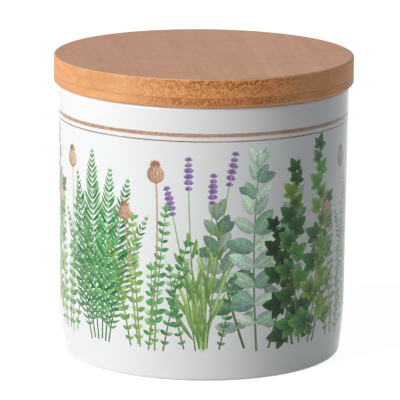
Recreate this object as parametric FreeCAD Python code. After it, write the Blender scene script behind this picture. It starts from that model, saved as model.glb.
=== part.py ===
"""Round porcelain storage jar for dried herbs, with a stepped lid of laminated bamboo and a silicone seal.

Millimetres, +Z up. The origin is the centre of the foot, on the surface that the jar stands on, and Z is
the jar's axis. The jar is one porcelain shell. The lid is turned from a board of three plies of flat bamboo
strips, glued edge to edge and ply to ply. Its rim covers the jar's mouth, and its plug hangs inside the mouth
and carries the seal in a groove. Each strip is a solid of its own, because the board is glued up from them.
"""

import FreeCAD, Part

import math
import os

# Jar, outside
jar_height = 94.0  # foot to rim
rim_radius = 50.0  # at the rim
wall_draft = 0.6  # how much narrower the wall is where it bends into the flank
flank_height = 11.5  # height of that bend
flank_inset = 1.4  # how far the flank runs in from there down to the surface
flank_round = 165.0  # radius of the bend, which spreads it over a long stretch of wall
foot_round = 1.5  # between flank and surface

# Jar, inside and under the foot
wall = 4.0  # at the mouth
rim_round = 1.2  # on the rim's two edges, which leaves a flat land between them
inner_draft = 0.6  # how much narrower the inside is at the floor than at the mouth
floor_thickness = 4.5
floor_round = 6.0  # between the inner wall and the floor
foot_ring_width = 6.0  # the unglazed ring that the jar stands on, measured at the surface
foot_recess = 1.2  # depth of the hollow inside that ring
recess_slope = 1.5  # how far the hollow's edge runs in as it rises
recess_round = 0.5

# Lid
lid_overhang = 1.6  # how far the lid stands out past the jar's rim
lid_rim_thickness = 9.8  # what shows above the jar
lid_top_round = 0.7
lid_under_round = 1.2
plug_depth = 9.7  # how far the plug reaches into the jar
plug_clearance = 1.5  # between the plug and the mouth, which the seal bridges
plug_corner_round = 0.6  # in the corner between rim and plug
plug_end_round = 0.8

# The board that the lid is turned from: three plies of strips, each ply shifted sideways by a share of a
# strip's width, so that the glue joints of neighbouring plies are staggered.
across_count = 5  # strips that the lid is wide
top_count = 6
top_shift_share = -0.2
middle_count = 6
middle_shift_share = 0.25
plug_count = 5
plug_shift_share = 0.05
grain_turn = 6.0  # degrees, from the Y axis to the strips

# Seal: a band in the plug's groove, with fins that wipe the mouth
groove_depth = 2.0
groove_height = 4.0
groove_lift = 1.5  # from the plug's end to the groove
seal_slack = 0.1  # between band and groove, on each side
band_thickness = 1.4
fin_count = 2
fin_root = 0.9  # thickness where a fin leaves the band
fin_tip = 0.5
fin_rise = 0.5  # how far a fin's tip is above its root
fin_margin = 0.3  # from the band's edges to the outer fins
fin_gap = 0.15  # between a fin's tip and the mouth

# Sizes that follow
flank_radius = rim_radius - wall_draft
foot_radius = flank_radius - flank_inset
mouth_radius = rim_radius - wall
floor_top = foot_recess + floor_thickness
floor_radius = mouth_radius - inner_draft
lid_radius = rim_radius + lid_overhang
lid_top = jar_height + lid_rim_thickness
plug_end = jar_height - plug_depth
plies = {
    "top": (top_count, top_shift_share),
    "middle": (middle_count, middle_shift_share),
    "plug": (plug_count, plug_shift_share),
}
ply_thickness = (lid_top - plug_end) / len(plies)
strip_width = 2 * lid_radius / across_count
plug_radius = mouth_radius - plug_clearance
groove_radius = plug_radius - groove_depth
groove_bottom = plug_end + groove_lift
groove_top = groove_bottom + groove_height

AXIS_POINT = FreeCAD.Vector(0, 0, 0)
AXIS = FreeCAD.Vector(0, 0, 1)
FILLET_SHARE = 0.98  # of a side, that the fillets at its two ends may take up
CLEAR = 10.0  # how far a cutting box stands out from what it cuts


def in_section(radius, height):
    """A point of the half section, in the XZ plane."""
    return FreeCAD.Vector(radius, 0, height)


def tangent_lengths(points, rounds):
    """How far from each corner its fillet starts. Two that need more than their side both give way."""
    count = len(points)
    halves, wanted = [], []
    for i, corner in enumerate(points):
        before = points[i - 1] - corner
        after = points[(i + 1) % count] - corner
        half_turn = (math.pi - before.getAngle(after)) / 2
        halves.append(half_turn)
        wanted.append(rounds[i] * math.tan(half_turn))
    share = [1.0] * count
    for i in range(count):
        j = (i + 1) % count
        room = FILLET_SHARE * points[i].distanceToPoint(points[j])
        if wanted[i] + wanted[j] > room:
            fits = room / (wanted[i] + wanted[j])
            share[i] = min(share[i], fits)
            share[j] = min(share[j], fits)
    return [length * part for length, part in zip(wanted, share)], halves


def section(corners):
    """A closed wire through corners given as (radius, height, fillet radius)."""
    points = [in_section(radius, height) for radius, height, _ in corners]
    lengths, halves = tangent_lengths(points, [fillet for _, _, fillet in corners])
    edges, count = [], len(points)
    starts, ends = [], []
    for i, corner in enumerate(points):
        towards_last = (points[i - 1] - corner).normalize()
        towards_next = (points[(i + 1) % count] - corner).normalize()
        starts.append(corner + towards_last * lengths[i])
        ends.append(corner + towards_next * lengths[i])
    for i, corner in enumerate(points):
        if lengths[i] > 0:
            radius = lengths[i] / math.tan(halves[i])
            to_centre = ((starts[i] + ends[i]) * 0.5 - corner).normalize()
            nearest = radius / math.cos(halves[i]) - radius
            edges.append(Part.Arc(starts[i], corner + to_centre * nearest, ends[i]).toShape())
        edges.append(Part.LineSegment(ends[i], starts[(i + 1) % count]).toShape())
    return Part.Wire(edges)


def turned(corners):
    """The solid that a section makes when it turns about the axis."""
    return Part.Face(section(corners)).revolve(AXIS_POINT, AXIS, 360)


def mouth_radius_at(height):
    """Inside radius of the jar at a height, on the straight part of its wall."""
    down = (jar_height - height) / (jar_height - floor_top)
    return mouth_radius - inner_draft * down


def jar_body():
    """The porcelain shell: a slightly tapered wall that curves in to a foot with an unglazed ring."""
    ring_inner = foot_radius - foot_ring_width
    return turned([
        (0, floor_top, 0),
        (floor_radius, floor_top, floor_round),
        (mouth_radius, jar_height, rim_round),
        (rim_radius, jar_height, rim_round),
        (flank_radius, flank_height, flank_round),
        (foot_radius, 0, foot_round),
        (ring_inner, 0, recess_round),
        (ring_inner - recess_slope, foot_recess, recess_round),
        (0, foot_recess, 0),
    ])


def turned_lid():
    """The whole lid as it comes off the lathe, before it is divided into its strips."""
    return turned([
        (0, lid_top, 0),
        (lid_radius, lid_top, lid_top_round),
        (lid_radius, jar_height, lid_under_round),
        (plug_radius, jar_height, plug_corner_round),
        (plug_radius, groove_top, 0),
        (groove_radius, groove_top, 0),
        (groove_radius, groove_bottom, 0),
        (plug_radius, groove_bottom, 0),
        (plug_radius, plug_end, plug_end_round),
        (0, plug_end, 0),
    ])


def lid_strips():
    """Each strip of bamboo by name: the turned lid, divided at its glue joints."""
    lid = turned_lid()
    reach = lid_radius + CLEAR
    strips = {}
    top = lid_top
    for ply, (count, shift_share) in plies.items():
        bottom = top - ply_thickness
        joints = [(k - count / 2 + shift_share) * strip_width for k in range(1, count)]
        edges = [-reach] + joints + [reach]
        for k in range(count):
            corner = FreeCAD.Vector(edges[k], -reach, bottom)
            box = Part.makeBox(edges[k + 1] - edges[k], 2 * reach, ply_thickness, corner)
            box.rotate(AXIS_POINT, AXIS, grain_turn)
            strips[f"{ply}_strip_{k + 1}"] = lid.common(box)
        top = bottom
    return strips


def seal_ring():
    """The silicone seal: a band that sits in the groove, and fins that reach out to the mouth."""
    inner = groove_radius + seal_slack
    outer = inner + band_thickness
    low = groove_bottom + seal_slack
    high = groove_top - seal_slack
    step = (high - low - 2 * fin_margin - fin_root) / max(fin_count - 1, 1)
    corners = [(inner, low, 0), (outer, low, 0)]
    for k in range(fin_count):
        root = low + fin_margin + k * step
        tip_low = root + fin_rise + (fin_root - fin_tip) / 2
        tip = mouth_radius_at(tip_low) - fin_gap
        corners.append((outer, root, 0))
        corners.append((tip, tip_low, fin_tip / 3))
        corners.append((tip, tip_low + fin_tip, fin_tip / 3))
        corners.append((outer, root + fin_root, 0))
    corners.append((outer, high, 0))
    corners.append((inner, high, 0))
    return turned(corners)


def write(name, shape):
    """Writes one node, and says what it holds."""
    solids = len(shape.Solids)
    print(f"{name}: {solids} solid, {shape.Volume / 1000:.2f} cm3, valid {shape.isValid()}")
    shape.exportStep(f"parts/{name}.step")


os.makedirs("parts", exist_ok=True)
write("jar_body", jar_body())
write("seal_ring", seal_ring())
for strip_name, strip in lid_strips().items():
    write(strip_name, strip)
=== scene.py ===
"""Looks of the herb jar: a printed porcelain jar, a lid of laminated bamboo and a silicone seal.

The scene is in metres, in the part's own frame: +Z up from the foot, -Y towards the viewer. The
jar's section and the print's flat drawing are in millimetres. The drawing unrolls the wall: x runs
to the right from the middle of the front, along the wall's girth, and z is the height.
"""

import math
import random

import bpy
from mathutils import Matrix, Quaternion, Vector
from mathutils.geometry import delaunay_2d_cdt


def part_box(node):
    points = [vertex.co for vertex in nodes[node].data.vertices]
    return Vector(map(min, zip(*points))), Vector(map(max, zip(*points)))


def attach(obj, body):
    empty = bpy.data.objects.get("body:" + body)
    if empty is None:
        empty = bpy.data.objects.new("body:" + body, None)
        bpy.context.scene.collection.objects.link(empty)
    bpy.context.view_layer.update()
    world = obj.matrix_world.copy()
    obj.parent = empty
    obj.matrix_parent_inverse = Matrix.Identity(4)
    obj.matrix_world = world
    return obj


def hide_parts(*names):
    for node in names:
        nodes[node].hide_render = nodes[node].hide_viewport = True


MM = 0.001

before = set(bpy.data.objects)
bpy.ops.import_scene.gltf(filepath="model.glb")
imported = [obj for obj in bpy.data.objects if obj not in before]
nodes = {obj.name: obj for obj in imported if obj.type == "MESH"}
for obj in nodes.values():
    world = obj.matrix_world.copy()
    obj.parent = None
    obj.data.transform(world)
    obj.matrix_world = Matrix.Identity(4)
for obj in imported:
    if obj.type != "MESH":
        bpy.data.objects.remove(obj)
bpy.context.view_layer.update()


# ------------------------------------------------------------
# Colours and node graphs


def ink(code):
    """A linear colour from a hex code such as "8fae6b", by the sRGB curve."""
    parts = [int(code[k : k + 2], 16) / 255 for k in (0, 2, 4)]
    return tuple(c / 12.92 if c <= 0.04045 else ((c + 0.055) / 1.055) ** 2.4 for c in parts)


def blend(a, b, share):
    """Between two colours."""
    return tuple(p + (q - p) * share for p, q in zip(a, b))


class Graph:
    """A material's nodes, written as sums. A value is a number, a colour or an output socket."""

    def __init__(self, name):
        self.material = bpy.data.materials.new(name)
        self.material.use_nodes = True
        self.tree = self.material.node_tree
        self.shader = self.tree.nodes["Principled BSDF"]

    def put(self, socket, value):
        """Links an output to a socket, or sets the socket to a number or a colour."""
        if isinstance(value, bpy.types.NodeSocket):
            self.tree.links.new(value, socket)
        elif isinstance(value, tuple) and len(value) == 3 and len(socket.default_value) == 4:
            socket.default_value = (*value, 1.0)
        else:
            socket.default_value = value

    def node(self, kind, output=0, settings=(), **inputs):
        """Adds a node, sets its options and inputs, and gives one of its outputs.

        An input goes by its name, with _ for each space, or by its number after a _.
        """
        made = self.tree.nodes.new(kind)
        for key, value in dict(settings).items():
            setattr(made, key, value)
        for key, value in inputs.items():
            name = key.strip("_").replace("_", " ")
            self.put(made.inputs[int(name)] if name.isdigit() else made.inputs[name], value)
        return made.outputs[output]

    def math(self, operation, a, b=0.0):
        return self.node("ShaderNodeMath", settings={"operation": operation}, _0=a, _1=b)

    def sum(self, total, *others):
        for other in others:
            total = self.math("ADD", total, other)
        return total

    def product(self, total, *others):
        for other in others:
            total = self.math("MULTIPLY", total, other)
        return total

    def step(self, value, low, high, to_low=0.0, to_high=1.0):
        """A smooth ramp between two values."""
        return self.node(
            "ShaderNodeMapRange", settings={"interpolation_type": "SMOOTHSTEP"},
            Value=value, From_Min=low, From_Max=high, To_Min=to_low, To_Max=to_high,
        )

    def mix(self, share, a, b):
        """Between two colours, whose inputs are 6 and 7."""
        return self.node("ShaderNodeMix", 2, {"data_type": "RGBA"}, _0=share, _6=a, _7=b)

    def noise(self, vector, scale, detail=2.0, roughness=0.5):
        return self.node(
            "ShaderNodeTexNoise", Vector=vector, Scale=scale, Detail=detail, Roughness=roughness
        )

    def vector(self, operation, a, b):
        return self.node("ShaderNodeVectorMath", settings={"operation": operation}, _0=a, _1=b)

    def rotated(self, vector, axis, angle):
        settings = {"rotation_type": axis}
        return self.node("ShaderNodeVectorRotate", settings=settings, Vector=vector, Angle=angle)

    def parts(self, vector):
        """A vector's three numbers."""
        return self.node("ShaderNodeSeparateXYZ", _0=vector).node.outputs

    def attribute(self, name, *outputs):
        """What is stored on the mesh under a name."""
        made = self.node("ShaderNodeAttribute", settings={"attribute_name": name}).node
        return [made.outputs[output] for output in outputs]

    def place(self):
        """The point's place in the part's frame, in millimetres."""
        here = self.node("ShaderNodeTexCoord", "Object")
        return self.vector("MULTIPLY", here, (1 / MM,) * 3)

    def bump(self, height, strength, distance):
        """A normal from a height, whose full range is so many millimetres."""
        return self.node("ShaderNodeBump", Strength=strength, Distance=distance * MM, Height=height)

    def finish(self, **inputs):
        """Sets the shader's inputs, and gives the material."""
        for key, value in inputs.items():
            self.put(self.shader.inputs[key.replace("_", " ")], value)
        return self.material


# ------------------------------------------------------------
# The jar's section, as the CAD source has it, in millimetres

jar_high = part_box("jar_body")[1]
JAR_HEIGHT = jar_high.z / MM
RIM_RADIUS = jar_high.x / MM
WALL = 4.0
RIM_ROUND = 1.2
INNER_DRAFT = 0.6  # how much narrower the inside is at the floor than at the mouth
FLOOR_TOP = 5.7
FLOOR_ROUND = 6.0
WALL_DRAFT = 0.6  # how much narrower the wall is where it bends into the flank
FLANK_HEIGHT = 11.5
FLANK_INSET = 1.4  # how far the flank runs in from there down to the foot
FLANK_ROUND = 165.0
FOOT_ROUND = 1.5
FOOT_RING_WIDTH = 6.0
RECESS = 1.2
RECESS_SLOPE = 1.5
RECESS_ROUND = 0.5

MOUTH_RADIUS = RIM_RADIUS - WALL
FLOOR_RADIUS = MOUTH_RADIUS - INNER_DRAFT
FLANK_RADIUS = RIM_RADIUS - WALL_DRAFT
FOOT_RADIUS = FLANK_RADIUS - FLANK_INSET
RING_INNER = FOOT_RADIUS - FOOT_RING_WIDTH
CORNERS = [  # radius, height and fillet, from the inside's middle round to the underside's
    (0.0, FLOOR_TOP, 0.0),
    (FLOOR_RADIUS, FLOOR_TOP, FLOOR_ROUND),
    (MOUTH_RADIUS, JAR_HEIGHT, RIM_ROUND),
    (RIM_RADIUS, JAR_HEIGHT, RIM_ROUND),
    (FLANK_RADIUS, FLANK_HEIGHT, FLANK_ROUND),
    (FOOT_RADIUS, 0.0, FOOT_ROUND),
    (RING_INNER, 0.0, RECESS_ROUND),
    (RING_INNER - RECESS_SLOPE, RECESS, RECESS_ROUND),
    (0.0, RECESS, 0.0),
]
ARC_STEP = math.radians(7)  # most that a fillet turns between two points
ARC_POINTS = 10  # fewest steps of a fillet

PRINT_TOP = 91.5  # upper and lower edge of the wall's printed stretch
PRINT_BOTTOM = 3.0
PRINT_ROWS = 14
COLUMNS = 144
HALF_GIRTH = math.pi * RIM_RADIUS
COLUMN = 2 * HALF_GIRTH / COLUMNS


def left_of(way):
    """A direction, turned anticlockwise by a right angle."""
    return Vector((-way.y, way.x))


def turned(way, angle):
    """A direction, turned anticlockwise."""
    c, s = math.cos(angle), math.sin(angle)
    return Vector((way.x * c - way.y * s, way.x * s + way.y * c))


def rounded(corners):
    """Points and normals along the section, whose solid side is on its right; fillets are arcs."""
    points = [(Vector(corners[0][:2]), Vector((0, 1)))]
    for before, (radius, height, fillet), after in zip(corners, corners[1:], corners[2:]):
        here = Vector((radius, height))
        way_in = (here - Vector(before[:2])).normalized()
        way_out = (Vector(after[:2]) - here).normalized()
        turn = math.atan2(way_in.cross(way_out), way_in.dot(way_out))
        side = math.copysign(fillet, turn)
        start = here - way_in * fillet * math.tan(abs(turn) / 2)
        centre = start + left_of(way_in) * side
        steps = max(ARC_POINTS, math.ceil(abs(turn) / ARC_STEP))
        for step in range(steps + 1):
            normal = left_of(turned(way_in, turn * step / steps))
            points.append((centre - normal * side, normal))
    points.append((Vector(corners[-1][:2]), Vector((0, -1))))
    return points


section = rounded(CORNERS)
rim_end = max(k for k, (point, _) in enumerate(section) if point.y > PRINT_TOP)
foot_start = next(k for k in range(rim_end, len(section)) if section[k][0].y < PRINT_BOTTOM)


def on_wall(height):
    """Radius and normal of the outer wall at a height."""
    for (above, n_above), (below, n_below) in zip(section[rim_end:], section[rim_end + 1 :]):
        if above.y >= height >= below.y:
            share = (above.y - height) / (above.y - below.y)
            return above.x + (below.x - above.x) * share, n_above.lerp(n_below, share).normalized()
    raise ValueError(f"the wall has no height {height}")


# ------------------------------------------------------------
# The print: a generic herbarium of standing plants, drawn shape by shape, the last one on top

SEED = 7
GROUND = 11.0  # where the plants' stalks start
ROOT_STRAY = 1.0  # how far up or down of that they may start
JITTER = 0.06  # how far a leaf's tint may stray
TIP_WIDTH = 0.08  # the least share of its width that a leaf counts as, for its leaf coordinates
PLAIN = (0.5, 0.0, 0.0)  # leaf coordinates without a rib, a vein or a rim
rng = random.Random(SEED)


def heading(angle):
    """The unit step of an angle counted clockwise from straight up, in radians."""
    return Vector((math.sin(angle), math.cos(angle)))


def stray(spread):
    return rng.uniform(-spread, spread)


class Shape:
    """A printed shape. Some have a rib, which is cut into the wall like the outline."""

    def rib(self):
        return []


class Leaf(Shape):
    """A leaf shape: pointed at both ends, widest at its belly, and bent sideways along its length.

    It has so many side veins to each half, which are darker than the leaf if the number is below
    zero. Its tint grows lighter to one side by the shade.
    """

    def __init__(
        self, base, angle, length, width, tints, belly=1.0, point=1.0, bend=0.0, veins=0, shade=0.12
    ):
        self.base = base
        self.along = heading(angle)
        self.across = Vector((self.along.y, -self.along.x))
        self.length = length
        self.width = width
        self.belly = belly
        self.point = point
        self.bend = bend * length
        self.veins = veins
        self.shade = shade
        light = 1 + stray(JITTER) * 2
        self.tints = [tuple(c * light * (1 + stray(JITTER)) for c in tint) for tint in tints]

    def half_width(self, t):
        return self.width * max(math.sin(math.pi * t**self.belly), 0.0) ** self.point

    def spot(self, t, u):
        """The point at a share t of the length and u of the half width, from -1 to 1."""
        side = self.bend * t * t + u * self.half_width(t)
        return self.base + self.along * self.length * t + self.across * side

    def outline(self):
        steps = 4 + min(5, int(self.length / 2))
        up = [self.spot(k / steps, 1) for k in range(1, steps)]
        down = [self.spot(k / steps, -1) for k in range(steps - 1, 0, -1)]
        return [self.spot(0, 0), *up, self.spot(1, 0), *down]

    def rib(self):
        return [self.spot(0, 0), self.spot(1, 0)] if not self.bend else []

    def paint(self, spot):
        """Tint and leaf coordinates at a point.

        The coordinates are u across, t along, counted in side veins, and 1 or -1 for the veins.
        """
        off = spot - self.base
        t = min(max(off.dot(self.along) / self.length, 0.0), 1.0)
        half = max(self.half_width(t), self.width * TIP_WIDTH)
        u = min(max((off.dot(self.across) - self.bend * t * t) / half, -1.0), 1.0)
        tint = blend(self.tints[0], self.tints[-1], t)
        veined = float((self.veins > 0) - (self.veins < 0))
        return tuple(c * (1 + self.shade * u) for c in tint), (u, t * abs(self.veins), veined)


class Stroke(Shape):
    """A brush line along points, tapering from one half width to another."""

    def __init__(self, points, start, end, tints):
        self.points = points
        self.start = start
        self.end = end
        self.tints = tints

    def outline(self):
        count = len(self.points)
        left, right = [], []
        for k, point in enumerate(self.points):
            way = (self.points[min(k + 1, count - 1)] - self.points[max(k - 1, 0)]).normalized()
            half = self.start + (self.end - self.start) * k / (count - 1)
            left.append(point + left_of(way) * half)
            right.append(point - left_of(way) * half)
        return right + left[::-1]

    def paint(self, spot):
        first, last = self.points[0], self.points[-1]
        run = last - first
        t = min(max((spot - first).dot(run) / run.length_squared, 0.0), 1.0)
        return blend(self.tints[0], self.tints[-1], t), PLAIN


class Stalk:
    """A plant's stalk: a bow that starts at its root, and leans and bends to one side."""

    STEPS = 12
    KNEE = 0.55  # how far up it bends most

    def __init__(self, x, height, lean, bow):
        self.root = Vector((x, GROUND + stray(ROOT_STRAY)))
        self.top = self.root + Vector((lean, height))
        self.knee = self.root + Vector((bow, height * self.KNEE))

    def at(self, t):
        return self.root * (1 - t) ** 2 + self.knee * 2 * t * (1 - t) + self.top * t * t

    def angle(self, t):
        way = (self.knee - self.root) * (1 - t) + (self.top - self.knee) * t
        return math.atan2(way.x, way.y)

    def stroke(self, start, end, tints):
        return Stroke([self.at(k / self.STEPS) for k in range(self.STEPS + 1)], start, end, tints)


FERN = [ink("235f38"), ink("4f9455"), ink("84bb74"), ink("2f7a4a")]
MEADOW = [ink("44834a"), ink("79b065"), ink("b0d69a"), ink("55965e")]
FRESH = [ink("74a24a"), ink("98bd66"), ink("b8d28a"), ink("628c4c")]
SAGE = [ink("86a88e"), ink("abc6ab"), ink("c9dbc6"), ink("6b8f80")]
IVY = [ink("17432a"), ink("468a3a"), ink("9cba4a"), ink("6fae58")]
PURPLE = [ink("7d5a9c"), ink("a284bd"), ink("5f4384")]
KRAFT = [ink("a9795b"), ink("c79c80"), ink("8a5f48"), ink("dcbaa1")]
STEM = [ink("7f9a4e"), ink("5d7c3c")]


def fern(x, height, lean, bow, tints):
    """A frond with paired leaflets that shorten towards its tip."""
    stalk = Stalk(x, height, lean, bow)
    shapes = []
    pitch = 2.1
    pairs = int(height / pitch)
    for k in range(pairs):
        t = 0.1 + 0.9 * k / pairs
        size = (t / 0.4) ** 0.6 if t < 0.4 else ((1 - t) / 0.6) ** 0.75
        for side in (-1, 1):
            angle = stalk.angle(t) + side * (1.15 - 0.35 * t + stray(0.1))
            length = max(height * 0.155 * size, 1.2) * (1 + stray(0.12))
            width = 0.3 + length * 0.04
            pick = [tints[(k + side) % 2], tints[1 + k % 3]]
            form = {"belly": 0.75, "point": 0.7, "bend": -side * 0.2, "shade": 0.25}
            shapes.append(Leaf(stalk.at(t), angle, length, width, pick, **form))
    rng.shuffle(shapes)
    return shapes + [stalk.stroke(0.32, 0.12, [tints[0], tints[2]])]


def lavender(x, height, lean, bow):
    """A thin stalk with narrow leaves low down and whorls of buds at its tip."""
    stalk = Stalk(x, height, lean, bow)
    shapes = [stalk.stroke(0.26, 0.17, [STEM[1], FRESH[1]])]
    leaves = 7
    for k in range(leaves):
        t = 0.04 + 0.08 * k + stray(0.02)
        side = 1 if k % 2 else -1
        angle = stalk.angle(t) + side * (0.45 + stray(0.15))
        length = 14.0 - 1.5 * k + stray(2)
        tints = [FRESH[3], FRESH[(k + 1) % 3]]
        form = {"point": 0.8, "bend": -side * 0.12, "shade": 0.2}
        shapes.append(Leaf(stalk.at(t), angle, length, 0.7, tints, **form))
    whorls = 6
    for k in range(whorls):
        t = 0.83 + 0.17 * k / (whorls - 1)
        size = 0.9 if 0 < k < whorls - 2 else 0.7
        form = {"belly": 0.9, "point": 0.7, "shade": 0.25}
        for spread in (-1.1, 1.1, -0.55, 0.55, 0.0):
            angle = stalk.angle(t) + spread + stray(0.12)
            tints = [PURPLE[(k + int(spread * 2)) % 3], PURPLE[1]]
            shapes.append(Leaf(stalk.at(t), angle, 2.2 * size, 0.6 * size, tints, **form))
    return shapes


def blades(x, height, spread, count, tints):
    """A tuft of grass."""
    shapes = []
    for k in range(count):
        lean = spread * (2 * (k + 0.5) / count - 1) + stray(0.06)
        length = height * (1 - 0.35 * abs(lean) / max(spread, 0.01) + stray(0.12))
        base = Vector((x + stray(1.5), GROUND + stray(0.8)))
        pick = [tints[k % len(tints)], tints[(k + 1) % len(tints)]]
        form = {"belly": 0.55, "point": 0.7, "bend": lean * 0.3, "shade": 0.15}
        shapes.append(Leaf(base, lean * 0.45, length, 0.55, pick, **form))
    rng.shuffle(shapes)
    return shapes


def eucalyptus(x, height, lean, bow):
    """A branch of broad oval leaves in pairs, some with another leaf behind them."""
    stalk = Stalk(x, height, lean, bow)
    pitch = 6.4
    pairs = max(4, int(height / pitch))
    back, front = [], []
    for k in range(pairs):
        t = 0.14 + 0.86 * k / (pairs - 1)
        scale = (1.0 - 0.45 * t) * min(0.66 + 0.17 * k, 1.0)
        for side in (-1, 1):
            layers = [(front, 0.0)] if (k + side) % 3 else [(front, 0.0), (back, 0.42)]
            for layer, drop in layers:
                angle = stalk.angle(t) + side * (1.15 - 0.65 * t + drop + stray(0.2))
                length = (12.4 + stray(1.6)) * scale
                pick = 3 if drop else (k + side) % 3
                tints = [blend(SAGE[pick], SAGE[3], 0.5), SAGE[pick]]
                form = {"belly": 0.86, "point": 0.62, "bend": side * 0.06, "veins": 7}
                layer.append(Leaf(stalk.at(t), angle, length, length * 0.24, tints, **form))
    back.append(stalk.stroke(0.42, 0.2, [STEM[1], SAGE[3]]))
    form = {"belly": 0.9, "point": 0.7, "veins": 5}
    tip = Leaf(stalk.at(0.98), stalk.angle(1), 6.5, 1.5, [SAGE[0], SAGE[2]], **form)
    return back + front + [tip]


LOBES = ((-1.85, 0.55), (1.85, 0.55), (-0.95, 0.8), (0.95, 0.8), (0.0, 1.0))  # turn and size


def ivy_leaf(base, angle, size, tints):
    """A leaf of five pointed lobes that spread from its stalk."""
    shapes = []
    form = {"belly": 0.78, "point": 0.75, "veins": -4, "shade": 0.1}
    for spread, share in LOBES:
        lobe = size * share
        turn = angle + spread + stray(0.06)
        shapes.append(Leaf(base, turn, lobe, lobe * 0.29, tints, **form))
    return shapes


def ivy(x, height, lean, bow):
    """A climbing shoot with lobed leaves to both sides."""
    stalk = Stalk(x, height, lean, bow)
    shapes = [stalk.stroke(0.4, 0.2, [STEM[1], STEM[0]])]
    pitch = 4.6
    count = int(height / pitch)
    for k in range(count):
        t = 0.08 + 0.92 * k / (count - 1)
        side = 1 if k % 2 else -1
        angle = stalk.angle(t) + side * (1.15 - 0.9 * t + stray(0.2))
        base = stalk.at(t) + heading(angle) * (3.0 * (1.1 - t))
        size = (7.8 - 3.2 * t) * (1 + stray(0.12))
        pick = rng.choice([(0, 1), (0, 2), (0, 3), (1, 2), (0, 1), (1, 3)])
        shapes.append(Stroke([stalk.at(t), base], 0.22, 0.18, [STEM[0]]))
        shapes += ivy_leaf(base, angle + side * 0.35, size, [IVY[pick[0]], IVY[pick[1]]])
    return shapes


def poppy(x, height, lean, bow, size):
    """A dried seed head: a ribbed globe with a crown, on a bare stalk."""
    stalk = Stalk(x, height, lean, bow)
    angle = stalk.angle(1)
    up = heading(angle)
    across = Vector((up.y, -up.x))
    shapes = [stalk.stroke(0.3, 0.26, [STEM[0], KRAFT[1]])]
    base = stalk.at(1)
    crown = base + up * size * 1.9
    for spread in (-1.35, 1.35, -0.7, 0.7, 0.0):
        tints = [KRAFT[2], KRAFT[0]]
        shapes.append(Leaf(crown, angle + spread, size * 0.62, size * 0.2, tints, point=0.6))
    form = {"point": 0.55, "shade": 0.28}
    shapes.append(Leaf(base, angle, size * 2.05, size * 0.94, [KRAFT[1], KRAFT[3]], **form))
    steps = 8
    for share in (-0.8, -0.45, 0.0, 0.45, 0.8):
        rib = []
        for k in range(steps + 1):
            t = k / steps
            swell = across * size * 0.88 * share * math.sin(math.pi * t) ** 0.6
            rib.append(base + up * size * (0.08 + 1.9 * t) + swell)
        shapes.append(Stroke(rib, 0.12, 0.08, [KRAFT[0], KRAFT[2]]))
    return shapes


def sprig(x, height, lean, bow, tints, size=1.0):
    """A twig of small oval leaves in pairs."""
    stalk = Stalk(x, height, lean, bow)
    shapes = [stalk.stroke(0.28, 0.13, [STEM[1], tints[0]])]
    pitch = 2.9
    pairs = int(height / (pitch * size))
    form = {"belly": 0.9, "point": 0.7}
    for k in range(pairs):
        t = 0.06 + 0.94 * k / (pairs - 1)
        for side in (-1, 1):
            angle = stalk.angle(t) + side * (0.95 + stray(0.25))
            length = size * (3.7 - 1.3 * t) * (1 + stray(0.18)) * min(0.6 + 0.15 * k, 1.0)
            pick = [tints[0], tints[(k + side) % len(tints)]]
            shapes.append(Leaf(stalk.at(t), angle, length, length * 0.25, pick, veins=3, **form))
    pick = [tints[0], tints[1]]
    shapes.append(Leaf(stalk.at(0.97), stalk.angle(1), 3.6 * size, 0.8 * size, pick, **form))
    return shapes


class Band(Shape):
    """A painted line right round the wall, with edges as uneven as a brush leaves them."""

    WAVES = (7, 17)  # how often an edge swells round the wall
    UNEVEN = 0.06  # by this share of half the line's width
    FADE = 0.12  # how much darker the line is along its edges

    def __init__(self, height, half, tint):
        self.height = height
        self.half = half
        self.tint = tint

    def outline(self):
        edges = []
        for side in (-1, 1):
            edge = []
            for k in range(COLUMNS + 1):
                slow, fast = (2 * math.pi * waves * k / COLUMNS for waves in self.WAVES)
                half = self.half * (1 + self.UNEVEN * (math.sin(side + slow) + math.sin(fast)))
                edge.append(Vector((k * COLUMN - HALF_GIRTH, self.height + side * half)))
            edges.append(edge)
        return edges[0] + edges[1][::-1]

    def paint(self, spot):
        u = (spot.y - self.height) / self.half
        return tuple(c * (1 - self.FADE * u * u) for c in self.tint), PLAIN


def lit(shapes, light):
    """Brings so much light on shapes, where 1 leaves them as they are."""
    for shape in shapes:
        shape.tints = [tuple(c * light for c in tint) for tint in shape.tints]
    return shapes


def layered(plants, back, front):
    """A bed of plants, the first one at the back. The light on them grows from back to front."""
    shapes = []
    for k, plant in enumerate(plants):
        shapes += lit(plant, back + (front - back) * k / (len(plants) - 1))
    return shapes


def fern_bed(x):
    spread = ((-17, -5, 44), (16, 5, 46), (-10, -5, 57), (10, 4, 58), (-3, -3, 66), (4, 2, 60))
    plants = [
        fern(x + lean * 0.25, height, lean, bow, FERN if height > 50 else MEADOW)
        for lean, bow, height in spread
    ]
    return layered(plants, 0.6, 1.25)


def herb_bed(x):
    spread = ((-8, -3, 33), (8, 4, 37), (-3, -2, 44), (4, 1, 49), (1, 2, 28))
    plants = [
        sprig(x + lean * 0.75, height, lean, bow, FRESH if lean < 0 else MEADOW)
        for lean, bow, height in spread
    ]
    heads = poppy(x + 1, 56, 2.5, 4, 3.3) + poppy(x - 3, 42, -5, -3, 2.8)
    return layered(plants, 0.8, 1.35) + heads


def lavender_bed(x):
    shapes = lit(blades(x, 44, 0.55, 11, FRESH), 1.2)
    for lean, bow, height in ((-10, -4, 55), (-4, -4, 64), (3, 2, 59), (9, 3, 66)):
        shapes += lavender(x + lean * 0.2, height, lean, bow)
    return shapes + sprig(x - 6, 27, -5, -4, MEADOW, 0.9) + sprig(x + 6, 24, 5, 3, MEADOW, 0.9)


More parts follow.
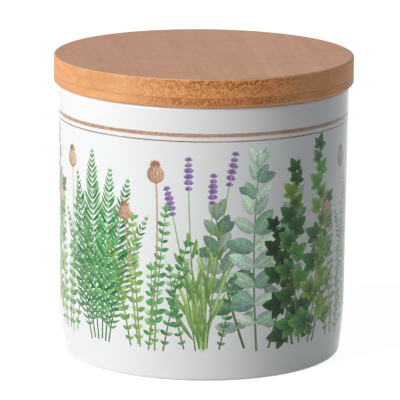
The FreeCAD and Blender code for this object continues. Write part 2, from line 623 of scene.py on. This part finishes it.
def eucalyptus_bed(x):
    spread = ((-10, -9, 45), (10, 8, 50), (0, -3, 64))
    plants = [eucalyptus(x + lean * 0.45, height, lean, bow) for lean, bow, height in spread]
    return layered(plants, 0.7, 1.3)


def ivy_bed(x):
    spread = ((-8, -6, 42), (8, 6, 48), (-3, -6, 60), (4, 7, 67))
    plants = [ivy(x + lean * 0.6, height, lean, bow) for lean, bow, height in spread]
    return layered(plants, 0.45, 1.45)


ROW = (fern_bed, herb_bed, lavender_bed, eucalyptus_bed, ivy_bed, herb_bed)  # along the wall
ROW_START = 5  # the number of the bed that the row starts with, which puts lavender in front
DEPTH = (eucalyptus_bed, fern_bed, ivy_bed, lavender_bed, herb_bed)  # from the back to the front
BED_COUNT = 15
BED_PITCH = 19.3


def clear_of_back(shape):
    return all(abs(point.x) < HALF_GIRTH - COLUMN / 4 for point in shape.outline())


def herbarium():
    """Every shape of the print. The beds leave the back bare, where the print's two ends meet."""
    bands = [Band(84.6, 0.62, KRAFT[1]), Band(82.5, 0.2, KRAFT[0])]
    shapes = []
    for bed in DEPTH:
        for k in range(BED_COUNT):
            if ROW[(k - ROW_START) % len(ROW)] is bed:
                shapes += bed((k - BED_COUNT // 2) * BED_PITCH)
    return bands + [shape for shape in shapes if clear_of_back(shape)]


NEAR = 1e-4  # points of the drawing that are nearer than this become one


def drawn_wall(shapes):
    """The flat wall cut along every shape's outline: its points, triangles and topmost shapes.

    The outlines run anticlockwise, because the side to the left of them is what counts as covered.
    """
    points, lines, faces = [], [], []

    def cut(start, end):
        lines.append((len(points), len(points) + 1))
        points.extend((start, end))

    for shape in shapes:
        outline = shape.outline()
        faces.append(list(range(len(points), len(points) + len(outline))))
        points.extend(outline)
        rib = shape.rib()
        if rib:
            cut(*rib)
    for k in range(COLUMNS + 1):
        x = k * COLUMN - HALF_GIRTH
        cut(Vector((x, PRINT_BOTTOM)), Vector((x, PRINT_TOP)))
    for k in range(PRINT_ROWS + 1):
        z = PRINT_BOTTOM + (PRINT_TOP - PRINT_BOTTOM) * k / PRINT_ROWS
        cut(Vector((-HALF_GIRTH, z)), Vector((HALF_GIRTH, z)))
    flat, _, triangles, _, _, owners = delaunay_2d_cdt(points, lines, faces, 0, NEAR, True)
    tops = [shapes[max(owner)] if owner else None for owner in owners]
    return flat, triangles, tops


# ------------------------------------------------------------
# The jar's mesh

SHEET_SCALE = 0.99 / (2 * HALF_GIRTH)  # of the unwrapping, which is a unit wide
OUTSIDE = (0.005, 0.005)  # where the patches of the unwrapping start, or have their middle
INSIDE = (0.005, 0.295)
FLOOR_DISC = (0.17, 0.78)
FOOT_DISC = (0.52, 0.78)
BARE = ((1.0, 1.0, 1.0), (0.0, 0.0, 0.0))  # tint and leaf coordinates off the print
GLAZED, UNGLAZED = 0, 1


def on_strip(corner, x, run):
    """A spot of the unwrapping, on a stretch that is unrolled."""
    return corner[0] + (x + HALF_GIRTH) * SHEET_SCALE, corner[1] + run * SHEET_SCALE


def on_disc(middle, x, run):
    """A spot of the unwrapping, on a stretch that is spread out round its middle."""
    turn = x / RIM_RADIUS
    reach = run * SHEET_SCALE
    return middle[0] + math.sin(turn) * reach, middle[1] - math.cos(turn) * reach


class Shell:
    """The jar's mesh in the making: points with normals, and faces with a print and a finish."""

    def __init__(self):
        self.points, self.normals, self.faces = [], [], []
        self.tints, self.leaves, self.sheet, self.finish = [], [], [], []

    def add(self, x, radius, height, normal):
        """Adds a point of the turned surface, at a place along the girth."""
        turn = x / RIM_RADIUS
        out = Vector((math.sin(turn), -math.cos(turn), 0))
        self.points.append((out * radius + Vector((0, 0, height))) * MM)
        self.normals.append(out * normal.x + Vector((0, 0, normal.y)))
        return len(self.points) - 1

    def ring(self, point, normal):
        """Adds a ring of points, or one on the axis, and gives a point for each column's edge."""
        if point.x < MM:
            return [self.add(0, 0, point.y, normal)] * (COLUMNS + 1)
        ring = [self.add(k * COLUMN - HALF_GIRTH, point.x, point.y, normal) for k in range(COLUMNS)]
        return ring + ring[:1]

    def face(self, corners, sheet, paints=None, finish=GLAZED):
        """Adds a face, with the spots of its corners on the unwrapping."""
        self.faces.append(corners)
        self.sheet += sheet
        self.finish.append(finish)
        for tint, leaf in paints or [BARE] * len(corners):
            self.tints += [*tint, 1.0 if paints else 0.0]
            self.leaves += leaf

    def skirt(self, upper, lower, runs, spread, middle, finish=GLAZED):
        """Joins two rings, which are at two runs along the section."""
        for k in range(COLUMNS):
            x = k * COLUMN - HALF_GIRTH
            next_x = (k + 1) * COLUMN - HALF_GIRTH
            corners = [lower[k], lower[k + 1], upper[k + 1], upper[k]]
            spots = [(x, runs[1]), (next_x, runs[1]), (next_x, runs[0]), (x, runs[0])]
            kept = [j for j in range(4) if corners[j] != corners[j - 1]]
            sheet = [spread(middle, *spots[j]) for j in kept]
            self.face([corners[j] for j in kept], sheet, finish=finish)

    def wall(self):
        """Adds the printed wall, and gives the rings along its upper and lower edge."""
        flat, triangles, tops = drawn_wall(herbarium())
        seam, numbers = {}, []
        edges = {PRINT_TOP: [None] * (COLUMNS + 1), PRINT_BOTTOM: [None] * (COLUMNS + 1)}
        for spot in flat:
            at_seam = HALF_GIRTH - abs(spot.x) < MM
            height = round(spot.y, 3)
            if at_seam and height in seam:
                numbers.append(seam[height])
            else:
                radius, normal = on_wall(spot.y)
                numbers.append(self.add(spot.x, radius, spot.y, normal))
                if at_seam:
                    seam[height] = numbers[-1]
            if height in edges:
                edges[height][round((spot.x + HALF_GIRTH) / COLUMN)] = numbers[-1]
        for corners, shape in zip(triangles, tops):
            spots = [flat[k] for k in corners]
            sheet = [on_strip(OUTSIDE, spot.x, spot.y) for spot in spots]
            paints = [shape.paint(spot) for spot in spots] if shape else None
            self.face([numbers[k] for k in corners], sheet, paints)
        return edges[PRINT_TOP], edges[PRINT_BOTTOM]

    def build(self, name, materials):
        """Makes the object, whose unwrapping is the one that its colours can be baked to."""
        mesh = bpy.data.meshes.new(name)
        mesh.from_pydata(self.points, [], self.faces)
        sheet = mesh.uv_layers.new(name="OFBake")
        sheet.data.foreach_set("uv", [c for spot in self.sheet for c in spot])
        tints = mesh.attributes.new("print_tint", "FLOAT_COLOR", "CORNER")
        tints.data.foreach_set("color", self.tints)
        leaves = mesh.attributes.new("print_leaf", "FLOAT_VECTOR", "CORNER")
        leaves.data.foreach_set("vector", self.leaves)
        mesh.polygons.foreach_set("material_index", self.finish)
        mesh.polygons.foreach_set("use_smooth", [True] * len(self.faces))
        mesh.normals_split_custom_set_from_vertices(self.normals)
        for material in materials:
            mesh.materials.append(material)
        mesh.update()
        piece = bpy.data.objects.new(name, mesh)
        bpy.context.collection.objects.link(piece)
        return piece


def run_along(points):
    """How far along the section each point is, from the first one."""
    runs = [0.0]
    for (before, _), (after, _) in zip(points, points[1:]):
        runs.append(runs[-1] + (after - before).length)
    return runs


DISC_TOP = FLOOR_TOP + FLOOR_ROUND * 0.98  # the inside is unwrapped as a disc up to this height


def jar(glaze, biscuit):
    """The whole porcelain shell as one closed mesh."""
    shell = Shell()
    top_edge, bottom_edge = shell.wall()
    above = section[: rim_end + 1]
    rings = [shell.ring(*spot) for spot in above] + [top_edge]
    runs = run_along([*above, (Vector((on_wall(PRINT_TOP)[0], PRINT_TOP)), None)])
    for k, (here, _) in enumerate(above):
        if here.y < DISC_TOP:
            shell.skirt(rings[k], rings[k + 1], runs[k : k + 2], on_disc, FLOOR_DISC)
            wall_start = runs[k + 1]
        else:
            spans = [run - wall_start for run in runs[k : k + 2]]
            shell.skirt(rings[k], rings[k + 1], spans, on_strip, INSIDE)
    below = section[foot_start:]
    rings = [bottom_edge] + [shell.ring(*spot) for spot in below]
    runs = run_along([(Vector((on_wall(PRINT_BOTTOM)[0], PRINT_BOTTOM)), None), *below])
    for k, (here, _) in enumerate(below):
        on_ring = here.y < MM and here.x > RING_INNER - RECESS_ROUND
        spans = [runs[-1] - run for run in runs[k : k + 2]]
        finish = UNGLAZED if on_ring else GLAZED
        shell.skirt(rings[k], rings[k + 1], spans, on_disc, FOOT_DISC, finish)
    return shell.build("jar", [glaze, biscuit])


# ------------------------------------------------------------
# Materials

GLAZE = ((0.81, 0.82, 0.825), (0.83, 0.835, 0.835))  # it drifts between the two, as the next does
BISCUIT = ((0.78, 0.76, 0.72), (0.7, 0.67, 0.62))
GRIT = (0.5, 0.46, 0.4)


def glazed_porcelain():
    """White glaze over the print, which flows like watercolour.

    The pigment has veins and blotches, and gathers at a leaf's rim.
    """
    graph = Graph("glazed_porcelain")
    place = graph.place()
    tint, printed = graph.attribute("print_tint", "Color", "Alpha")
    across, along, veined = graph.parts(*graph.attribute("print_leaf", "Vector"))
    side = graph.math("ABSOLUTE", across)

    blotches = graph.noise(place, 0.9, 3.0, 0.6)
    fine = graph.noise(place, 3.5, 2.0, 0.6)
    wash = graph.sum(
        graph.step(blotches, 0.3, 0.7, -0.16, 0.2), graph.step(fine, 0.3, 0.7, -0.07, 0.07)
    )
    rib = graph.step(side, 0.06, 0.22, 1.0, 0.0)
    slant = graph.math("SUBTRACT", along, graph.product(side, 0.9))
    vein = graph.step(graph.math("PINGPONG", slant, 0.5), 0.0, 0.16, 1.0, 0.0)
    lines = graph.product(graph.math("MAXIMUM", rib, graph.product(vein, 0.6)), veined, 0.3)
    rim = graph.step(side, 0.7, 1.0, 0.0, -0.2)
    pigment = graph.node(
        "ShaderNodeHueSaturation", Color=tint, Hue=graph.step(blotches, 0.3, 0.7, 0.488, 0.51),
        Value=graph.sum(wash, lines, graph.sum(rim, 1.0)),
    )
    cloud = graph.noise(place, 0.03)
    glaze = graph.mix(graph.step(cloud, 0.35, 0.65), *GLAZE)
    ripple = graph.noise(place, 0.12)
    pits = graph.noise(place, 1.6, 1.0)
    shine = graph.step(cloud, 0.3, 0.7, 0.1, 0.14)
    return graph.finish(
        Base_Color=graph.mix(printed, glaze, pigment),
        Roughness=graph.sum(shine, graph.product(printed, 0.06)),
        Normal=graph.bump(graph.sum(ripple, graph.product(pits, 0.012)), 0.12, 0.3),
        IOR=1.5,
        Specular_IOR_Level=0.25,
    )


def bare_porcelain():
    """The ring that the jar stands on, ground flat and left without glaze."""
    graph = Graph("bare_porcelain")
    place = graph.place()
    grit = graph.noise(place, 2.5, 4.0, 0.7)
    stain = graph.noise(place, 0.15)
    biscuit = graph.mix(graph.step(stain, 0.35, 0.7), *BISCUIT)
    return graph.finish(
        Base_Color=graph.mix(graph.step(grit, 0.6, 0.72, 0.0, 0.5), biscuit, GRIT),
        Roughness=graph.step(grit, 0.2, 0.8, 0.65, 0.85),
        Normal=graph.bump(grit, 0.3, 0.05),
        IOR=1.5,
    )


GRAIN_TURN = math.radians(6.0)  # from the Y axis to the strips
PLY_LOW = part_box("top_strip_3")[0].z / MM
PLY_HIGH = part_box("top_strip_3")[1].z / MM
PLY = PLY_HIGH - PLY_LOW
LID_RADIUS = max(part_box(name)[1].y for name in nodes) / MM
BUNDLES = 1.09  # fibre bundles to the millimetre
SLOPING_BUNDLES = 0.52  # and where they are cut at a slant, and look wide
SLOPING = ("top_strip_5", "middle_strip_5")
BUNDLE_TURN = 0.9  # slant of the rows that the bundles' ends stand in, in radians
GOLDEN = 0.618  # share of their spacing by which a strip's knots are off those of the one before
FIGURE = {  # how much of the bundles' ends shows on a strip, where it isn't all of it
    "top_strip_3": 0.85,
    "top_strip_5": 0.9,
    "middle_strip_2": 0.6,
    "middle_strip_3": 0.88,
    "middle_strip_5": 0.8,
}
RUDDY = {  # how much of a strip's edge is ruddy
    "top_strip_5": 0.4,
    "top_strip_6": 0.7,
    "middle_strip_5": 0.5,
    "middle_strip_6": 0.7,
}

PALE_WOOD = (0.85, 0.435, 0.172)
DEEP_WOOD = (0.77, 0.36, 0.132)
RUDDY_WOOD = (1.0, 0.4, 0.13)
END_WOOD = (0.88, 0.35, 0.085)
# painted sheen: the paler, pinker tone of the level faces stands in for the satin oil's reflection
# on them
PAINTED_SHEEN_WOOD = (0.78, 0.32, 0.235)
STRAND_TINT = (0.6, 0.24, 0.075)
STREAK_TINT = (0.55, 0.22, 0.09)
MOTTLE_TINT = (0.5, 0.2, 0.09)
KNOT_TINT = (0.5, 0.2, 0.07)
DASH_TINT = (0.4, 0.15, 0.05)
BUNDLE_TINT = (0.33, 0.075, 0.012)
GLUE_TINT = (0.3, 0.11, 0.035)
# painted highlight: the pale tint laid on the lid's rounded edges
EDGE_HIGHLIGHT_TINT = (0.97, 0.62, 0.38)


def joints_of(name):
    """Where a strip's two glue joints lie across the grain, or far out where it ends at the rim."""
    c, s = math.cos(GRAIN_TURN), math.sin(GRAIN_TURN)
    across = [(v.co.x * c + v.co.y * s) / MM for v in nodes[name].data.vertices]
    ends = (min(across), max(across))
    beyond = 2 * LID_RADIUS
    return [spot if abs(spot) < LID_RADIUS * 0.97 else math.copysign(beyond, spot) for spot in ends]


class Strip(Graph):
    """A strip of bamboo: the nodes that its wood goes by, and the wood's colour so far.

    end_grain is 1 where the lid's edge cuts the fibres across, flat is 1 on the lid's level faces,
    and rise runs from 0 to 1 up a ply. shift is the place on the board, moved on by chance.
    """

    def __init__(self, name, number):
        super().__init__(f"bamboo_{name}")
        chance = random.Random(number)
        self.name = name
        self.number = number
        self.board = self.rotated(self.place(), "Z_AXIS", -GRAIN_TURN)
        self.across, self.along, height = self.parts(self.board)
        height = self.math("SUBTRACT", height, PLY_LOW)
        self.rise = self.math("FRACT", self.math("DIVIDE", height, PLY))

        normal = self.node("ShaderNodeTexCoord", "Normal")
        _, lengthwise, self.upward = self.parts(self.rotated(normal, "Z_AXIS", -GRAIN_TURN))
        self.end_grain = self.step(self.math("ABSOLUTE", lengthwise), 0.78, 0.99)
        self.level = self.math("ABSOLUTE", self.upward)
        self.flat = self.step(self.level, 0.6, 0.95)

        away = tuple(chance.uniform(-60, 60) for _ in range(3))
        self.shift = self.vector("ADD", self.board, away)
        self.spacing = chance.uniform(66, 86)
        tone = 1 + chance.uniform(-0.05, 0.05)
        warm = chance.uniform(-0.02, 0.02)
        pale, deep = (
            tuple(c * tone for c in (red + warm, green, blue - warm))
            for red, green, blue in (PALE_WOOD, DEEP_WOOD)
        )
        clouds = self.grain(0.16, 0.02, 0.3)
        self.wood = self.mix(self.step(clouds, 0.3, 0.7), pale, deep)
        self.fibre = self.grain(2.2, 0.03, 2.2, detail=3.0, roughness=0.6)

    def stretched(self, across, along, up):
        return self.vector("MULTIPLY", self.shift, (across, along, up))

    def grain(self, across, along, up, detail=2.0, roughness=0.5):
        """Noise with so many waves to the millimetre, each way."""
        return self.noise(self.stretched(across, along, up), 1.0, detail, roughness)

    def from_edge(self, edge, flat):
        """So much on the lid's edge, and so much on its level faces."""
        return self.step(self.flat, 0.0, 1.0, edge, flat)

    def stain(self, share, tint):
        self.wood = self.mix(share, self.wood, tint)

    def faces(self):
        """Tells the edge, the end grain and the level faces apart; the level faces get a paler,
        pinker tone, a painted sheen of the satin oil.
        """
        self.stain(self.from_edge(RUDDY.get(self.name, 0.0), 0.0), RUDDY_WOOD)
        self.stain(self.product(self.end_grain, 0.6), END_WOOD)
        # a painted sheen on the level faces
        self.stain(self.product(self.flat, 0.35), PAINTED_SHEEN_WOOD)

    def streaks(self):
        """Strands and streaks along the strip, and a mottle on its level faces."""
        strands = self.step(self.fibre, 0.35, 0.75, 0.0, 0.24)
        self.stain(self.product(strands, self.from_edge(1.0, 0.2)), STRAND_TINT)
        streaks = self.step(self.grain(0.5, 0.006, 0.5), 0.35, 0.7, 0.0, 0.2)
        self.stain(self.product(streaks, self.from_edge(1.0, 0.6)), STREAK_TINT)
        mottle = self.step(self.grain(0.4, 0.2, 0.2, roughness=0.6), 0.34, 0.66, 0.0, 0.17)
        self.stain(self.product(mottle, self.flat), MOTTLE_TINT)

    def knots(self):
        """The culm's knots: every so often, a thin dark line with a soft shade round it."""
        waver = self.product(self.grain(0.12, 0.12, 0.12, roughness=0.6), 9.0)
        bent = self.sum(self.along, waver, self.number * GOLDEN * self.spacing)
        off = self.math("PINGPONG", bent, self.spacing / 2)
        knot = self.sum(self.step(off, 0.2, 1.2, 0.4, 0.0), self.step(off, 0.8, 6.0, 0.6, 0.0))
        self.stain(self.product(knot, self.from_edge(0.34, 0.18)), KNOT_TINT)

    def dashes(self):
        """Single dark fibres where the edge runs along the strip."""
        dash = self.step(self.grain(4.5, 0.09, 4.5, detail=1.0), 0.58, 0.7)
        other = self.math("MAXIMUM", self.end_grain, self.product(self.flat, 0.6))
        self.stain(self.product(dash, self.math("SUBTRACT", 1.0, other), 0.22), DASH_TINT)

    def bundles(self):
        """The cut fibre bundles: dots in slanted rows, paler and smaller downwards.

        Gives how dark they are.
        """
        pace = SLOPING_BUNDLES if self.name in SLOPING else BUNDLES
        lattice = self.rotated(self.stretched(pace, 0.012, 1.0), "Y_AXIS", BUNDLE_TURN)
        off = self.node(
            "ShaderNodeTexVoronoi", settings={"feature": "F1"}, Vector=lattice, Scale=1.0,
            Randomness=0.5,
        )
        reach = self.step(self.rise, -0.1, 0.75, 0.68, 0.8)
        dot = self.step(self.math("DIVIDE", off, reach), 0.5, 0.95, 1.0, 0.0)
        figure = self.step(self.grain(0.07, 0.0, 0.0, detail=1.0), 0.3, 0.6, 0.65, 1.0)
        show = self.product(self.end_grain, figure, 0.85 * FIGURE.get(self.name, 1.0))
        show = self.product(self.sum(show, 0.12), self.from_edge(1.0, 0.35))
        show = self.product(show, self.step(self.rise, 0.0, 0.85, 0.6, 1.0))
        dark = self.product(dot, show)
        self.stain(dark, BUNDLE_TINT)
        return dark

    def glue(self):
        """The joints to the strips beside it, and the glue lines between the plies."""
        off = [
            self.math("ABSOLUTE", self.math("SUBTRACT", self.across, joint))
            for joint in joints_of(self.name)
        ]
        seam = self.step(self.math("MINIMUM", *off), 0.05, 0.2, 1.0, 0.0)
        seam = self.product(seam, self.from_edge(0.15, 0.12))
        from_ply = self.math("MINIMUM", self.rise, self.math("SUBTRACT", 1.0, self.rise))
        line = self.step(from_ply, 0.008, 0.045, 1.0, 0.0)
        patchy = self.step(self.noise(self.board, 0.14, 1.0), 0.4, 0.62, 0.1, 0.5)
        line = self.product(line, patchy, self.math("SUBTRACT", 1.0, self.flat))
        self.stain(self.math("MAXIMUM", seam, line), GLUE_TINT)

    def painted_edge_highlight(self):
        """A painted highlight on the rounded edges, stronger on the upper ones, where the light
        falls.
        """
        rounding = self.product(
            self.step(self.level, 0.12, 0.5), self.step(self.level, 0.7, 0.98, 1.0, 0.0)
        )
        self.stain(self.product(rounding, self.step(self.upward, -0.1, 0.1, 0.12, 0.3)), EDGE_HIGHLIGHT_TINT)


def bamboo(name, number):
    """A strip of bamboo under a satin oil."""
    strip = Strip(name, number)
    strip.faces()
    strip.streaks()
    strip.knots()
    strip.dashes()
    dark = strip.bundles()
    strip.glue()
    # a painted highlight on the rounded edges
    strip.painted_edge_highlight()
    relief = strip.math("SUBTRACT", strip.fibre, strip.product(dark, 0.8))
    return strip.finish(
        Base_Color=strip.wood,
        Roughness=strip.step(strip.fibre, 0.2, 0.8, 0.47, 0.55),
        Normal=strip.bump(strip.product(relief, strip.from_edge(1.0, 0.3)), 0.2, 0.05),
        IOR=1.45,
    )


SILICONE = ((0.72, 0.73, 0.72), (0.8, 0.8, 0.785))


def silicone():
    """Milky rubber with a fine matt skin."""
    graph = Graph("silicone")
    place = graph.place()
    haze = graph.noise(place, 0.25)
    skin = graph.noise(place, 6.0, 2.0, 0.6)
    return graph.finish(
        Base_Color=graph.mix(graph.step(haze, 0.3, 0.7), *SILICONE),
        Roughness=graph.step(skin, 0.3, 0.7, 0.42, 0.55),
        Normal=graph.bump(skin, 0.2, 0.03),
        Subsurface_Weight=0.15,
        Subsurface_Scale=0.002,
        IOR=1.41,
    )


def finish_node(name, material):
    mesh = nodes[name].data
    mesh.materials.clear()
    mesh.materials.append(material)


# ------------------------------------------------------------
# Pieces

shell = jar(glazed_porcelain(), bare_porcelain())
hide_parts("jar_body")
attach(shell, "jar")

finish_node("seal_ring", silicone())
strips = sorted(name for name in nodes if "_strip_" in name)
for strip_number, strip_name in enumerate(strips):
    finish_node(strip_name, bamboo(strip_name, strip_number))


# ------------------------------------------------------------
# Camera, floor and light

AIM_HEIGHT = 47.0  # the view is set out from this point of the axis
VIEW_DISTANCE = 1135.2
VIEW_FALL = math.radians(12.492)
VIEW_ROLL = math.radians(0.5125)
VIEW_OFFSET = (2.67, -14.28)  # pixels from the picture's middle to that point, right and up
PIXELS = 400
SENSOR = 36.0  # its width in millimetres
FOCAL_PIXELS = 3267.1  # the focal length, in pixels of the picture

FLOOR_REACH = 6.0
FLOOR_TINT = 0.75  # as it lights the jar
FLOOR_GLOW = 0.9  # what the camera sees of it in deep shadow
FLOOR_SHADOW = 0.35  # and how much of the light on it is added to that
AMBIENT = 0.12  # how bright the world is as a light, where the camera sees it as 1

LAMPS = (  # name, turn and rise in degrees, distance and size in metres, power, tint, mirrored
    ("key", -52, 20, 1.3, 0.7, 14.6, (1.0, 1.0, 1.0), True),
    ("fill", 80, 38, 1.4, 1.0, 1.42, (0.7, 0.88, 1.0), True),
    ("back", 180, 8, 1.4, 1.0, 6.5, (1.0, 1.0, 1.0), False),
)


def grey(level):
    return (level, level, level, 1.0)


def add_camera():
    data = bpy.data.cameras.new("camera")
    data.sensor_width = SENSOR
    data.lens = FOCAL_PIXELS / PIXELS * SENSOR
    camera = bpy.data.objects.new("camera", data)
    right = Vector((1, 0, 0))
    back = Vector((0, -math.cos(VIEW_FALL), math.sin(VIEW_FALL)))
    up = Vector((0, math.sin(VIEW_FALL), math.cos(VIEW_FALL)))
    middle = Vector((0, 0, AIM_HEIGHT))
    place = middle + back * VIEW_DISTANCE
    pixel = VIEW_DISTANCE / FOCAL_PIXELS
    aim = middle - right * VIEW_OFFSET[0] * pixel - up * VIEW_OFFSET[1] * pixel
    camera.location = place * MM
    turn = (aim - place).to_track_quat("-Z", "Y") @ Quaternion((0, 0, 1), VIEW_ROLL)
    camera.rotation_euler = turn.to_euler()
    bpy.context.collection.objects.link(camera)
    bpy.context.scene.camera = camera


def add_lamp(name, turn, rise, distance, size, power, tint, mirrored):
    """An area lamp that looks at the jar. Its turn counts from the front to the viewer's right."""
    data = bpy.data.lights.new(name, "AREA")
    data.shape = "DISK"
    data.size = size
    data.energy = power
    data.color = tint
    lamp = bpy.data.objects.new(name, data)
    turn, rise = math.radians(turn), math.radians(rise)
    level = math.cos(rise)
    way = Vector((math.sin(turn) * level, -math.cos(turn) * level, math.sin(rise)))
    lamp.location = way * distance + Vector((0, 0, AIM_HEIGHT * MM))
    lamp.rotation_euler = (-way).to_track_quat("-Z", "Y").to_euler()
    lamp.visible_glossy = mirrored
    bpy.context.collection.objects.link(lamp)


def seen(tree):
    """1 for rays from the camera and for mirrored and refracted ones."""
    rays = tree.nodes.new("ShaderNodeLightPath")
    total = rays.outputs["Is Camera Ray"]
    for name in ("Is Glossy Ray", "Is Transmission Ray"):
        either = tree.nodes.new("ShaderNodeMath")
        either.operation = "MAXIMUM"
        tree.links.new(total, either.inputs[0])
        tree.links.new(rays.outputs[name], either.inputs[1])
        total = either.outputs[0]
    return total


def floor_material():
    """Matt as it lights the jar. To the camera it glows, and shows shadows more faintly."""
    material = bpy.data.materials.new("floor")
    material.use_nodes = True
    tree = material.node_tree
    tree.nodes.clear()
    matt, faint = (tree.nodes.new("ShaderNodeBsdfDiffuse") for _ in range(2))
    matt.inputs["Color"].default_value = grey(FLOOR_TINT)
    faint.inputs["Color"].default_value = grey(FLOOR_SHADOW)
    bright = tree.nodes.new("ShaderNodeEmission")
    bright.inputs["Strength"].default_value = FLOOR_GLOW
    shown = tree.nodes.new("ShaderNodeAddShader")
    both = tree.nodes.new("ShaderNodeMixShader")
    out = tree.nodes.new("ShaderNodeOutputMaterial")
    tree.links.new(faint.outputs[0], shown.inputs[0])
    tree.links.new(bright.outputs[0], shown.inputs[1])
    tree.links.new(seen(tree), both.inputs[0])
    tree.links.new(matt.outputs[0], both.inputs[1])
    tree.links.new(shown.outputs[0], both.inputs[2])
    tree.links.new(both.outputs[0], out.inputs["Surface"])
    return material


def add_floor():
    signs = ((-1, -1), (1, -1), (1, 1), (-1, 1))
    mesh = bpy.data.meshes.new("floor")
    mesh.from_pydata([(x * FLOOR_REACH, y * FLOOR_REACH, 0) for x, y in signs], [], [(0, 1, 2, 3)])
    mesh.materials.append(floor_material())
    floor = bpy.data.objects.new("floor", mesh)
    bpy.context.collection.objects.link(floor)


def light_world():
    world = bpy.data.worlds.new("studio")
    world.use_nodes = True
    tree = world.node_tree
    back = tree.nodes["Background"]
    back.inputs["Color"].default_value = grey(1.0)
    ramp = tree.nodes.new("ShaderNodeMapRange")
    ramp.inputs["To Min"].default_value = AMBIENT
    tree.links.new(seen(tree), ramp.inputs["Value"])
    tree.links.new(ramp.outputs[0], back.inputs["Strength"])
    bpy.context.scene.world = world


add_camera()
add_floor()
light_world()
for lamp_row in LAMPS:
    add_lamp(*lamp_row)
bpy.context.scene.view_settings.view_transform = "Standard"
